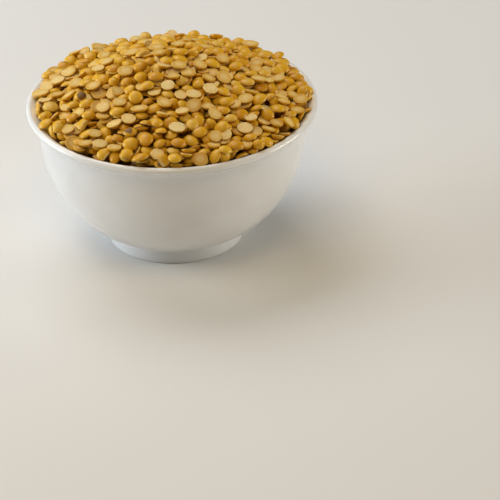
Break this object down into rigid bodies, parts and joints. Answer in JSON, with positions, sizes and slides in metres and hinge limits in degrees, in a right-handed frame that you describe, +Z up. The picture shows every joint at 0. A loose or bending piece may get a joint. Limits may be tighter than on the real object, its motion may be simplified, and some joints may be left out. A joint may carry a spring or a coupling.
{
  "type": "bowl of dry split lentils",
  "caption": "White footed porcelain bowl with a flared lip, heaped with dry yellow split lentils in a rounded mound that rises above the rim.",
  "frame": {"origin": "centre of the foot ring, on the surface the bowl stands on", "axes": "+Z up along the bowl's axis; the bowl is turned about +Z, and -Y faces the viewer of the picture"},
  "size_m": [0.12, 0.12, 0.0845],
  "materials": {
    "white_glaze": "glossy white glaze over porcelain",
    "split_lentil": "dry golden yellow split seeds, semi-matt, with paler flat faces"
  },
  "bodies": {
    "root": {"bowl": "white_glaze", "dal_heap": "split_lentil"}
  },
  "joints": []
}
